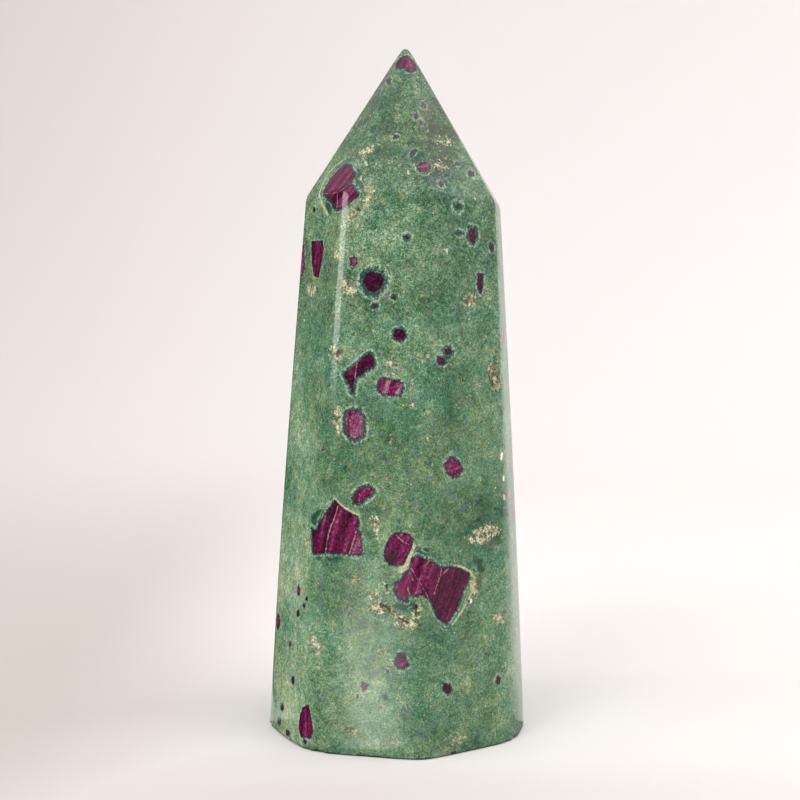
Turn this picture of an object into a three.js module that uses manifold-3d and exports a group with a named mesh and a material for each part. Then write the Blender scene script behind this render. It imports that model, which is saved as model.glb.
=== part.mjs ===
// Ruby fuchsite point: a polished, eight-sided stone tower that tapers to an eight-facet crown.
// One solid, in millimetres, +Z up, standing on its flat foot with the origin at the foot's middle.
import * as THREE from 'three';
import { mergeVertices } from 'three/addons/utils/BufferGeometryUtils.js';
import Module from 'manifold-3d';

// ---- driving dimensions ---------------------------------------------------------------------

const HEIGHT = 110; // foot to tip

// Each side facet: the compass bearing of its outward normal (0 = front, -Y; 90 = right, +X), its
// distance from the axis at the foot and its lean towards the axis in degrees. Then the arris on
// its left: the height where that meets the crown, and how softly it is rounded there and at the
// foot, where the stone has been polished harder.
const SIDES = [
  { name: 'left front', bearing: -64.5, foot: 19.6, lean: 4.98, shoulder: 86.3, soft: [0.15, 1.4] },
  { name: 'front', bearing: -12.3, foot: 18.7, lean: 4.25, shoulder: 86.6, soft: [0.35, 1.8] },
  { name: 'right front', bearing: 34.3, foot: 19, lean: 3.08, shoulder: 86.7, soft: [0.4, 0.7] },
  { name: 'right', bearing: 76.2, foot: 20.9, lean: 2.78, shoulder: 85.1, soft: [0.3, 1.1] },
  { name: 'right back', bearing: 118.3, foot: 19.7, lean: 4.1, shoulder: 84.5, soft: [0.15, 1.2] },
  { name: 'back', bearing: 163, foot: 19.6, lean: 3.6, shoulder: 86.4, soft: [0.3, 0.6] },
  { name: 'left back', bearing: 207, foot: 19.6, lean: 3.2, shoulder: 88, soft: [0.2, 0.5] },
  { name: 'left', bearing: 252, foot: 20.95, lean: 3.98, shoulder: 88.6, soft: [0.2, 0.4] },
];
const TIP = new THREE.Vector3(1.55, 0.5, HEIGHT + 0.8); // where the facets of the crown would meet

// How softly the polishing has rounded the other edges: the width over which two facets blend.
const SOFT_CROWN = 0.05;
const SOFT_SHOULDER = 0.12;
const SOFT_TIP = 0.15; // the tip is blunt
const SOFT_FOOT = 0.12;

// Open pits that the polishing left in the softer, paler seams: the side they are on, how far right
// of that side's middle line and how far up they lie, and their width, height and depth.
const PITS = [
  { side: 'right front', across: 8.1, up: 58, size: [2.2, 4.6, 0.6] },
  { side: 'right front', across: 7, up: 31.8, size: [3.4, 1.5, 0.4] },
  { side: 'right front', across: 8.4, up: 20.6, size: [2.2, 1.3, 0.4] },
  { side: 'right front', across: 3.4, up: 70, size: [1, 1.3, 0.4] },
  { side: 'right front', across: 3.7, up: 26, size: [1.1, 3, 0.4] },
  { side: 'front', across: -3.2, up: 83.8, size: [1, 0.9, 0.4] },
  { side: 'front', across: -4.3, up: 72.3, size: [1.3, 1.1, 0.4] },
  { side: 'front', across: -5.6, up: 61.9, size: [1, 1.3, 0.4] },
  { side: 'front', across: -6, up: 51.4, size: [0.9, 1.4, 0.4] },
  { side: 'front', across: 2.3, up: 26.2, size: [0.9, 0.8, 0.4] },
  { side: 'front', across: 2.2, up: 23, size: [2, 0.9, 0.5] },
  { side: 'front', across: -3.2, up: 3.9, size: [1.8, 1, 0.4] },
  { side: 'right back', across: -3, up: 44, size: [2.2, 3.4, 0.6] },
  { side: 'back', across: 3.5, up: 66, size: [2.8, 1.6, 0.6] },
  { side: 'left back', across: -2, up: 27, size: [1.8, 2.6, 0.5] },
  { side: 'left', across: 4, up: 70, size: [1.4, 2, 0.4] },
];

// Mesh fineness: places of the columns between two arrises, and of the rings up the sides and crown.
const COLUMNS = [0, 0.035, 0.08, 0.16, 0.36, 0.64, 0.84, 0.92, 0.965];
const FOOT_RINGS = [0, 0.001, 0.0025, 0.005, 0.012];
const SIDE_RINGS = [0.1, 0.25, 0.4, 0.55, 0.7, 0.85, 0.95, 0.985, 0.995];
const CROWN_RINGS = [0.012, 0.04, 0.12, 0.3, 0.5, 0.7, 0.85, 0.94, 0.975, 0.992];
const PIT_DETAIL = 2;

// ---- the facets as planes -------------------------------------------------------------------

const COUNT = SIDES.length;
const around = (k) => (k + COUNT) % COUNT;

function facingOut(bearing) {
  const angle = THREE.MathUtils.degToRad(bearing);
  return new THREE.Vector3(Math.sin(angle), -Math.cos(angle), 0);
}

function sidePlane({ bearing, foot, lean }) {
  const slope = THREE.MathUtils.degToRad(lean);
  const normal = facingOut(bearing).multiplyScalar(Math.cos(slope));
  normal.z = Math.sin(slope);
  return new THREE.Plane(normal, -foot * Math.cos(slope));
}

// The corner of the cross-section at height z where side k meets the side on its left.
function cornerAt(k, z) {
  const inset = ({ foot, lean }) => foot - z * Math.tan(THREE.MathUtils.degToRad(lean));
  const [left, right] = [SIDES[around(k - 1)], SIDES[k]];
  const [a, b] = [facingOut(left.bearing), facingOut(right.bearing)];
  const across = a.x * b.y - a.y * b.x;
  return new THREE.Vector3(
    (inset(left) * b.y - inset(right) * a.y) / across,
    (a.x * inset(right) - b.x * inset(left)) / across,
    z,
  );
}

const footCorners = SIDES.map((side, k) => cornerAt(k, 0));
const shoulderCorners = SIDES.map((side, k) => cornerAt(k, side.shoulder));
const sidePlanes = SIDES.map(sidePlane);
const crownPlanes = shoulderCorners.map((corner, k) =>
  new THREE.Plane().setFromCoplanarPoints(corner, shoulderCorners[around(k + 1)], TIP));
const footPlane = new THREE.Plane(new THREE.Vector3(0, 0, -1), 0);
const tipPlane = new THREE.Plane(new THREE.Vector3(0, 0, 1), -HEIGHT);

// ---- the polished surface -------------------------------------------------------------------

// The largest value, blended over the given softness where two or more are close to it.
function softMax(values, softness) {
  const top = Math.max(...values);
  const sum = values.reduce((total, value) => total + Math.exp((value - top) / softness), 0);
  return top + softness * Math.log(sum);
}

// Signed distance to the sides alone, each arris blended over its own softness.
function outsideSides(point) {
  const values = sidePlanes.map((plane) => plane.distanceToPoint(point));
  const nearest = values.indexOf(Math.max(...values));
  const [left, right] = [around(nearest - 1), around(nearest + 1)];
  const { shoulder, soft } = SIDES[values[left] > values[right] ? nearest : right];
  const down = THREE.MathUtils.clamp(1 - point.z / shoulder, 0, 1);
  return softMax(values, THREE.MathUtils.lerp(soft[0], soft[1], down ** 3));
}

// Signed distance to the rounded stone, negative inside.
function outside(point) {
  const sides = outsideSides(point);
  const crown = softMax(crownPlanes.map((plane) => plane.distanceToPoint(point)), SOFT_CROWN);
  const upper = softMax([sides, crown], SOFT_SHOULDER);
  const blunt = softMax([upper, tipPlane.distanceToPoint(point)], SOFT_TIP);
  return softMax([blunt, footPlane.distanceToPoint(point)], SOFT_FOOT);
}

// Slides a point of the sharp outline towards the heart of the stone until it is on the surface.
function polished(sharp, heart) {
  let [low, high] = [0.5, 1.02];
  for (let step = 0; step < 40; step += 1) {
    const middle = (low + high) / 2;
    if (outside(heart.clone().lerp(sharp, middle)) > 0) high = middle;
    else low = middle;
  }
  return heart.clone().lerp(sharp, (low + high) / 2);
}

function ring(corners) {
  const middle = corners.reduce((sum, c) => sum.add(c), new THREE.Vector3()).divideScalar(COUNT);
  const heart = middle.clone();
  heart.z = THREE.MathUtils.clamp(middle.z, HEIGHT * 0.1, HEIGHT * 0.7);
  return corners.flatMap((corner, k) =>
    COLUMNS.map((t) => polished(corner.clone().lerp(corners[around(k + 1)], t), heart)));
}

function stone() {
  const between = (from, to, t) => from.map((corner, k) => corner.clone().lerp(to[k], t));
  const tip = shoulderCorners.map(() => TIP);
  const rings = [
    ...[...FOOT_RINGS, ...SIDE_RINGS].map((t) => ring(between(footCorners, shoulderCorners, t))),
    ring(shoulderCorners),
    ...CROWN_RINGS.map((t) => ring(between(shoulderCorners, tip, t))),
  ];
  rings[0].forEach((point) => point.setZ(0)); // the foot is flat
  const top = polished(TIP, new THREE.Vector3(TIP.x, TIP.y, HEIGHT * 0.7));
  const points = [new THREE.Vector3(), ...rings.flat(), top];
  const columns = rings[0].length;
  const at = (row, column) => 1 + row * columns + (column % columns);
  const faces = [];
  for (let column = 0; column < columns; column += 1) {
    faces.push(0, at(0, column + 1), at(0, column));
    for (let row = 0; row + 1 < rings.length; row += 1) {
      faces.push(at(row, column), at(row, column + 1), at(row + 1, column + 1));
      faces.push(at(row, column), at(row + 1, column + 1), at(row + 1, column));
    }
    faces.push(at(rings.length - 1, column), at(rings.length - 1, column + 1), points.length - 1);
  }
  const geometry = new THREE.BufferGeometry().setFromPoints(points);
  geometry.setIndex(faces);
  return geometry;
}

// ---- the pits -------------------------------------------------------------------------------

function pit({ side, across, up, size }) {
  const { bearing, foot, lean } = SIDES.find(({ name }) => name === side);
  const slope = THREE.MathUtils.degToRad(lean);
  const geometry = new THREE.IcosahedronGeometry(1, PIT_DETAIL);
  geometry.scale(size[0] / 2, size[2], size[1] / 2);
  geometry.rotateX(slope);
  geometry.translate(across, -(foot - up * Math.tan(slope)), up);
  return geometry.rotateZ(THREE.MathUtils.degToRad(bearing));
}

const wasm = await Module();
wasm.setup();

function toSolid(geometry) {
  geometry.deleteAttribute('normal');
  geometry.deleteAttribute('uv');
  const merged = mergeVertices(geometry);
  return new wasm.Manifold(new wasm.Mesh({
    numProp: 3,
    vertProperties: new Float32Array(merged.attributes.position.array),
    triVerts: new Uint32Array(merged.index.array),
  }));
}

function toGeometry(solid) {
  const { vertProperties, triVerts } = solid.getMesh();
  const geometry = new THREE.BufferGeometry();
  geometry.setAttribute('position', new THREE.BufferAttribute(new Float32Array(vertProperties), 3));
  geometry.setIndex(new THREE.BufferAttribute(new Uint32Array(triVerts), 1));
  return geometry;
}

function pittedStone() {
  const whole = stone();
  whole.computeBoundingBox();
  const middle = whole.boundingBox.getCenter(new THREE.Vector3());
  const pitted = PITS.reduce((solid, hole) => solid.subtract(toSolid(pit(hole))), toSolid(whole));
  const geometry = toGeometry(pitted).translate(-middle.x, -middle.y, 0);
  geometry.computeVertexNormals();
  return geometry;
}

// ---- the part -------------------------------------------------------------------------------

const material = new THREE.MeshStandardMaterial({ color: '#5d8f74', roughness: 0.28, metalness: 0 });
const point = new THREE.Mesh(pittedStone(), material);
point.name = 'ruby_fuchsite_point';

const group = new THREE.Group();
group.add(point);

export default group;
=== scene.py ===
"""The looks of the ruby fuchsite point: a polished stone with rubies, pale seams and open pits."""

import math
from dataclasses import dataclass
from functools import reduce
from itertools import combinations

import bmesh
import bpy
import numpy as np
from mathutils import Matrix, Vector, noise
from mathutils.bvhtree import BVHTree
from mathutils.kdtree import KDTree


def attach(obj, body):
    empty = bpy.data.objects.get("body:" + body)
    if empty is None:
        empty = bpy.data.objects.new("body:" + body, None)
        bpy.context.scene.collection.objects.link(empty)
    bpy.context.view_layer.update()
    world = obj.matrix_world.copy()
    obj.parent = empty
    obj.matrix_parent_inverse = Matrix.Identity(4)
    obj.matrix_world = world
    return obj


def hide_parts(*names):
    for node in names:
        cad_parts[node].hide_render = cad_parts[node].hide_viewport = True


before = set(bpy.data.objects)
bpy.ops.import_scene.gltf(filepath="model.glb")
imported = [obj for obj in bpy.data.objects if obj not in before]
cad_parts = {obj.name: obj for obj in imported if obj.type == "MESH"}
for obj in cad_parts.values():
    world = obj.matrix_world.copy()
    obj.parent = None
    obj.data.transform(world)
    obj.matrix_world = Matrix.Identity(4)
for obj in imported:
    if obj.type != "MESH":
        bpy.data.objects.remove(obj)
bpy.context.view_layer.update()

# ---- sizes and places, in millimetres unless named otherwise ----------------------------------

MM = 0.001
STONE = "ruby_fuchsite_point"
HEIGHT = 110
CROWN_TAPER = 5  # a crown facet's half width is its depth below the tip over this
UP = np.array([0.0, 0.0, 1.0])
FAR = 1e5

# The eye in front of the stone, and its lens.
EYE = np.array([0.58, -243.86, 71.4])
LOOKS_DOWN = 4.19  # degrees
PICTURE_SIDE = 800  # pixels
FOCAL_LENGTH = 1500  # pixels
SENSOR = 36.0

# Triangles of the frame's stone that agree this well lie in one facet.
SAME_FACET_ANGLE = 0.4  # degrees
SAME_FACET_OFFSET = 0.05
SMALLEST_TRIANGLE = 0.02  # square millimetres
SMALLEST_FACET = 30.0  # square millimetres
FACETS_APART = 16.0  # degrees
SIDE_LEAN = 12.0  # degrees; a facet that leans more belongs to the crown
MERGE_CORNERS = 0.8

# An arris is measured where points are this nearly as far from either facet, from this far above
# the foot to this far below the crown. Across a facet one arris gives way to the next this softly.
ARRIS_MIDDLE = 0.1
ARRIS_START = 1.0
ARRIS_END = 2.0
ARRIS_BLEND = 2.0

# How softly the polishing has rounded the edges: the width over which two facets blend.
SOFT_CROWN = 0.035
SOFT_TIP = 0.12
TIP_HEIGHTS = (108.0, 109.6)  # between these the crown's edges grow as soft as the tip
SOFT_SHOULDER = 0.12
SOFT_FOOT = 0.12

# The longest mesh edge allowed in each kind of place.
EDGE_PLAIN = 1.5
EDGE_FOOT = 4.0
EDGE_ARRIS = 0.55
EDGE_OUTLINE = 0.36
EDGE_CRACK = 0.2
EDGE_SEAM = 0.45
EDGE_PIT = 0.24
ARRIS_REACH = 0.9
REFINE_ROUNDS = 24
CORNER_INSET = 0.2  # share of the way to the middle of a triangle

# Open pits: how far the frame's surface lies below the polished one there, and how rough they are.
PIT_SHOWS = 0.04
PIT_FULL = 0.25
PIT_REACH = 1.2
PIT_ROUGHNESS = 0.35
SCRATCH = 0.02  # what lies deeper than this isn't polished
SEAM_RELIEF = 0.09

# The height of the painted contact shadow along the foot's edge: a dark line where the stone meets the
# paper.
FOOT_SHADOW_HEIGHT = 0.35

# How far round an outline its distance is worked out, and how deep round an edge it marks.
MARK_REACH = 2.2
MARK_DEPTH = 3.8

# The direction of the growth lines in specks of ruby, in degrees.
SPECK_GRAIN = 60

# How softly a seam ends, and the tone of a ruby changes at a crack.
SEAM_BLEND = 0.7
CRACK_BLEND = 0.06

# Rubies and seams on the facets that the front view doesn't show.
SEED = 11
UNSEEN_SIZES = (7.5, 5.0, 3.4, 2.6, 2.2, 1.8, 1.5, 1.2, 1.0, 0.9, 0.8, 0.7, 0.6, 0.6, 0.5, 0.5)
UNSEEN_ON_SIDES = (6, 82)  # heights
UNSEEN_ON_CROWN = (80, 104)
UNSEEN_SPREAD = 6.5  # to either side of a facet's middle
UNSEEN_GAP = 2.0
FACES_BACK = 0.1  # how far back a facet has to face, as a share
LARGEST_ON_CROWN = 2.5
SMALLEST_CRACKED = 4
UNSEEN_SEAMS = 0.4  # share of the rubies that have a seam beside them

# Radiance of the room: at eye level on the left and on the right, and added overhead.
ROOM_LEFT = 0.04
ROOM_RIGHT = 0.37
ROOM_OVERHEAD = 0.85

# The paper, in metres: how far behind the stone it bends up and how sharply, and its top.
PAPER_BEND = 0.3
PAPER_STEPS = 16
PAPER_TOP = 2.5

# The reflector that lays a pale streak on the lower front.
GLINT_BEARING = -26.0  # degrees
GLINT = 3.2
GLINT_HAZE = 0.7


# ---- what the stone holds ---------------------------------------------------------------------
# Each outline is a list of (x, z): right of the middle and above the foot, as seen from the front.


@dataclass
class Crack:
    """A pale healed crack through a ruby, and how much pinker the ruby is to the right of it."""

    course: list
    step: float = 0.0
    healed: bool = True  # if not, only the tone changes there


@dataclass
class Ruby:
    """A ruby crystal that the polishing has cut through."""

    outline: list
    grain: float  # direction of its growth lines, degrees from level
    tone: float  # 0 is darkest crimson, 1 dusty pink
    rim: float  # width of the dark green skin round it
    halo: float  # how far out a thin pale ring runs round it
    cracks: tuple = ()


def grain_shape(x, z, width, height, tilt=0.0, corners=6):
    """The outline of a small crystal: a slightly flattened polygon."""
    turn = math.radians(tilt)
    points = []
    for k in range(corners):
        angle = 2 * math.pi * (k + 0.5) / corners
        a, b = width / 2 * math.cos(angle), height / 2 * math.sin(angle)
        points.append((x + a * math.cos(turn) - b * math.sin(turn),
                       z + a * math.sin(turn) + b * math.cos(turn)))
    return points


RUBIES = [
    # at the tip
    Ruby([(-0.2, 107.5), (0.4, 108.3), (1.2, 108.9), (2.0, 108.8), (3.0, 107.6), (3.2, 106.6),
          (2.4, 106.2), (1.7, 106.3), (1.4, 107.0), (0.6, 106.8), (0.0, 107.0)], 70, 0.42, 0.2, 0.3,
         (Crack([(1.7, 108.9), (1.4, 107.0)], -0.25, False),)),
    # on the shoulder, over the left arris
    Ruby([(-8.3, 91.6), (-7.4, 91.4), (-6.6, 89.8), (-7.5, 88.5), (-6.3, 87.4), (-6.0, 86.7),
          (-7.9, 85.1), (-8.9, 84.4), (-10.0, 84.4), (-10.4, 85.7), (-11.7, 86.7), (-11.7, 87.4),
          (-10.7, 89.2), (-9.5, 90.6)], 48, 0.42, 0.35, 1.5,
         (Crack([(-11.8, 86.9), (-9.4, 87.1), (-7.5, 88.5)], -0.12),
          Crack([(-9.5, 87.1), (-9.6, 84.4)]))),
    # high on the left side
    Ruby([(-13.7, 79.2), (-11.9, 79.3), (-11.8, 78.0), (-12.3, 75.0), (-12.6, 73.5), (-13.4, 73.8),
          (-13.7, 76.4)], 88, 0.22, 0.2, 0.3),
    Ruby([(-15.6, 79.0), (-14.9, 78.7), (-14.9, 74.8), (-15.3, 73.6), (-16.2, 73.2), (-17.0, 75.0),
          (-16.6, 78.0)], 88, 0.5, 0.2, 0.2),
    # square one with a wide dark skin
    Ruby([(-4.9, 74.1), (-4.0, 74.5), (-2.5, 74.0), (-2.0, 72.9), (-2.7, 71.4), (-3.6, 70.9),
          (-4.8, 71.4), (-5.4, 72.9)], 65, 0.1, 0.75, 0.9),
    # dull one with a mint edge, above the square one
    Ruby([(-7.6, 76.7), (-6.7, 76.9), (-6.3, 76.1), (-6.5, 75.3), (-7.4, 75.3)], 90, 0.6, 0.1, 0.5),
    # dark slab
    Ruby([(-8.7, 57.7), (-7.2, 58.9), (-5.0, 60.9), (-4.3, 61.2), (-3.7, 60.4), (-3.6, 59.2),
          (-5.6, 57.7), (-6.7, 57.0), (-6.9, 56.1), (-7.0, 54.6), (-7.3, 54.6), (-7.7, 56.1)],
         35, 0.12, 0.4, 0.6,
         (Crack([(-6.4, 59.6), (-6.8, 57.0)], 0.2),)),
    # pink one, split in two
    Ruby([(-2.9, 56.7), (-2.2, 57.2), (-1.3, 57.0), (-0.9, 56.7), (0.2, 56.7), (1.1, 56.2), (1.1, 55.4),
          (0.6, 54.2), (-1.2, 54.3), (-2.3, 54.4), (-3.0, 55.0)], 75, 0.54, 0.25, 0.5,
         (Crack([(-1.0, 56.8), (-1.6, 54.3)], 0.32),)),
    # pink oval
    Ruby([(-8.3, 51.4), (-7.2, 51.9), (-6.2, 51.8), (-5.4, 50.8), (-5.3, 49.0), (-5.5, 47.5),
          (-6.8, 47.0), (-7.6, 47.3), (-8.4, 48.7), (-8.4, 50.3)], 80, 0.85, 0.45, 0.7,
         (Crack([(-7.5, 50.4), (-7.6, 48.6)], -0.3),)),
    # berry on the right
    Ruby([(8.9, 44.3), (10.2, 43.5), (10.9, 42.2), (10.2, 41.1), (9.3, 40.7), (8.4, 41.4), (7.9, 42.9)],
         20, 0.58, 0.25, 0.6),
    # the small one above the great left one
    Ruby([(-7.0, 36.6), (-7.1, 37.4), (-6.7, 38.4), (-6.1, 39.0), (-4.5, 39.5), (-3.8, 38.9),
          (-3.5, 38.4), (-4.8, 37.4), (-6.0, 36.5)], 60, 0.6, 0.35, 0.5,
         (Crack([(-6.0, 38.0), (-6.1, 36.5)], -0.2),)),
    # the great left one
    Ruby([(-13.7, 28.1), (-13.9, 32.4), (-13.0, 32.0), (-12.8, 32.9), (-11.8, 34.6), (-10.1, 37.1),
          (-6.4, 34.4), (-6.1, 33.2), (-6.4, 32.6), (-5.9, 31.3), (-5.6, 28.0), (-10.0, 28.3),
          (-12.3, 28.3)], 76, 0.32, 0.25, 0.6,
         (Crack([(-9.6, 36.2), (-10.0, 34.5), (-10.6, 33.2), (-11.1, 31.7), (-11.7, 28.4)], -0.35),
          Crack([(-10.5, 35.8), (-12.7, 28.2)], 0.12, False),
          Crack([(-12.6, 32.8), (-13.1, 28.2)], -0.25, False),
          Crack([(-8.4, 35.6), (-9.8, 28.2)], 0.12, False),
          Crack([(-7.8, 28.0), (-6.8, 31.2), (-6.4, 32.6)], 0.35))),
    # the round one in the middle
    Ruby([(-0.3, 31.6), (0.9, 31.8), (2.0, 31.5), (2.8, 30.6), (2.4, 29.2), (1.4, 26.4), (-0.2, 26.2),
          (-1.1, 26.4), (-1.9, 27.2), (-2.1, 28.2), (-1.8, 29.4), (-1.2, 30.8)], 50, 0.5, 0.2, 0.5,
         (Crack([(-0.4, 31.6), (0.9, 30.4), (2.2, 29.6)], -0.1),)),
    # the great cluster
    Ruby([(2.1, 25.6), (1.5, 25.2), (0.7, 23.8), (-0.3, 23.3), (-0.4, 22.0), (0.4, 20.6), (1.8, 20.2),
          (2.0, 21.3), (3.2, 21.1), (4.2, 21.5), (5.7, 20.4), (5.9, 19.5), (6.7, 17.6), (8.2, 16.5),
          (9.9, 18.9), (11.1, 22.4), (12.0, 24.0), (12.0, 24.8), (10.6, 25.7), (8.8, 26.1), (7.4, 25.8),
          (6.7, 26.3), (5.5, 27.2), (4.4, 27.4), (3.5, 28.0), (2.5, 27.5), (2.4, 26.4)],
         62, 0.24, 0.3, 1.0,
         (Crack([(2.4, 25.8), (3.6, 23.8), (4.8, 21.8), (5.3, 20.7)], 0.1),
          Crack([(7.6, 27.0), (7.2, 24.5), (6.6, 22.8), (6.2, 21.5)], 0.16),
          Crack([(8.6, 25.8), (7.2, 24.5)]), Crack([(2.1, 25.1), (2.8, 23.7)]),
          Crack([(1.8, 22.6), (2.3, 21.1)]), Crack([(5.4, 27.1), (4.5, 25.8)]))),
    # low ones
    Ruby([(0.4, 11.6), (1.2, 11.3), (2.0, 9.6), (1.3, 9.0), (0.4, 9.1), (-0.4, 10.1)],
         40, 0.45, 0.25, 0.5),
    Ruby([(-15.5, 2.6), (-14.6, 2.9), (-14.3, 1.9), (-13.8, -1.5), (-14.3, -2.6), (-15.8, -2.5),
          (-16.2, -1.0), (-16.0, 1.1)], 95, 0.34, 0.2, 0.2),
    Ruby([(-5.7, 6.9), (-4.7, 6.4), (-4.9, 5.6), (-5.5, 5.3), (-5.9, 6.1)], 60, 0.95, 0.1, 0.5),
    Ruby([(7.7, 6.6), (8.8, 6.4), (9.2, 5.4), (8.5, 4.7), (7.7, 5.4)], 60, 0.3, 0.2, 0.5),
    # right side
    Ruby([(13.2, 74.1), (14.0, 74.0), (14.0, 71.7), (13.6, 70.9), (13.1, 72.2)], 85, 0.3, 0.25, 0.4),
    Ruby([(11.9, 81.4), (12.7, 81.2), (12.9, 79.8), (12.2, 79.0), (11.7, 80.1)], 60, 0.3, 0.55, 0.7),
    Ruby([(6.8, 60.5), (7.6, 60.4), (8.1, 59.6), (7.3, 59.2), (6.6, 59.9)], 60, 0.15, 0.3, 0.5),
    Ruby([(7.7, 61.8), (8.7, 62.0), (9.0, 61.2), (8.2, 60.7)], 60, 0.15, 0.5, 0.7),
    Ruby([(-0.4, 64.9), (0.9, 65.2), (1.6, 64.1), (0.9, 63.1), (-0.1, 63.3), (-0.5, 64.1)],
         30, 0.25, 0.35, 0.5),
    # on the crown
    Ruby([(3.3, 91.3), (4.1, 92.0), (5.3, 91.8), (5.6, 91.0), (4.8, 90.4), (3.6, 90.5)],
         10, 0.6, 0.15, 0.6),
]

# Small ones: x, z, width, height, tone, rim, halo, and a few a tilt in degrees.
SPECKS = [
    # on the crown
    (12.0, 90.1, 0.9, 0.8, 0.3, 0.3, 0.5), (-1.2, 104.9, 0.6, 0.8, 0.3, 0.3, 0.5),
    (4.4, 101.0, 0.8, 0.7, 0.85, 0.15, 0.5), (3.2, 99.3, 0.7, 0.6, 0.85, 0.15, 0.5),
    (4.0, 98.2, 0.5, 0.7, 0.85, 0.1, 0.5), (4.5, 97.4, 0.6, 0.5, 0.85, 0.1, 0.5),
    (-0.1, 96.0, 0.7, 0.5, 0.2, 0.3, 0.5), (2.7, 93.4, 1.4, 0.6, 0.6, 0.2, 0.5, 55),
    (9.8, 91.7, 0.6, 0.5, 0.5, 0.2, 0.5), (7.2, 88.5, 0.7, 0.6, 0.5, 0.3, 0.5),
    # on the sides
    (-13.3, 84.3, 0.4, 0.8, 0.2, 0.15, 0.2), (9.9, 84.8, 0.5, 0.5, 0.3, 0.7, 0.8),
    (1.7, 79.9, 0.8, 0.7, 0.45, 0.4, 0.5), (10.1, 80.6, 0.5, 0.4, 0.6, 0.4, 0.5),
    (15.4, 78.3, 0.5, 1.2, 0.7, 0.3, 0.5, 15), (-3.5, 68.8, 0.7, 0.6, 0.3, 0.35, 0.5),
    (-0.4, 70.3, 0.7, 0.6, 0.5, 0.3, 0.5), (-12.0, 45.5, 0.4, 0.9, 0.6, 0.1, 0.2),
    (-16.1, 22.1, 0.5, 1.9, 0.4, 0.15, 0.5), (-14.8, 20.7, 0.4, 0.8, 0.2, 0.15, 0.5),
    (-15.2, 19.6, 0.5, 0.8, 0.3, 0.15, 0.5), (-16.2, 18.3, 0.5, 1.1, 0.4, 0.15, 0.5),
    (-19.5, 16.9, 0.6, 2.7, 0.4, 0.2, 0.5), (-17.5, 13.1, 0.4, 0.9, 0.7, 0.1, 0.5),
    (-17.1, 7.1, 0.5, 1.6, 0.3, 0.15, 0.5), (-15.2, -3.3, 0.6, 0.8, 0.25, 0.1, 0.5),
    (-18.0, -1.8, 0.7, 1.2, 0.4, 0.1, 0.5), (-18.9, 2.5, 0.6, 1.3, 0.5, 0.1, 0.5),
    (-19.4, 0.2, 0.6, 1.5, 0.4, 0.1, 0.5), (9.5, -5.2, 0.9, 0.7, 0.4, 0.1, 0.5),
    (17.3, 64.4, 0.6, 4.0, 0.8, 0.1, 0.3), (18.4, 37.9, 0.6, 2.4, 0.8, 0.1, 0.2),
    (19.1, 35.3, 0.5, 3.2, 0.75, 0.1, 0.2), (18.6, 42.8, 0.4, 1.6, 0.9, 0.1, 0.2),
    (-6.5, 4.4, 0.4, 0.5, 0.5, 0.1, 0.2), (16.8, 7.1, 0.7, 1.3, 0.45, 0.2, 0.5),
]

for x, z, width, height, *looks in SPECKS:
    shape = grain_shape(x, z, width, height, *looks[3:])
    RUBIES.append(Ruby(shape, SPECK_GRAIN, *looks[:3]))

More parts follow.
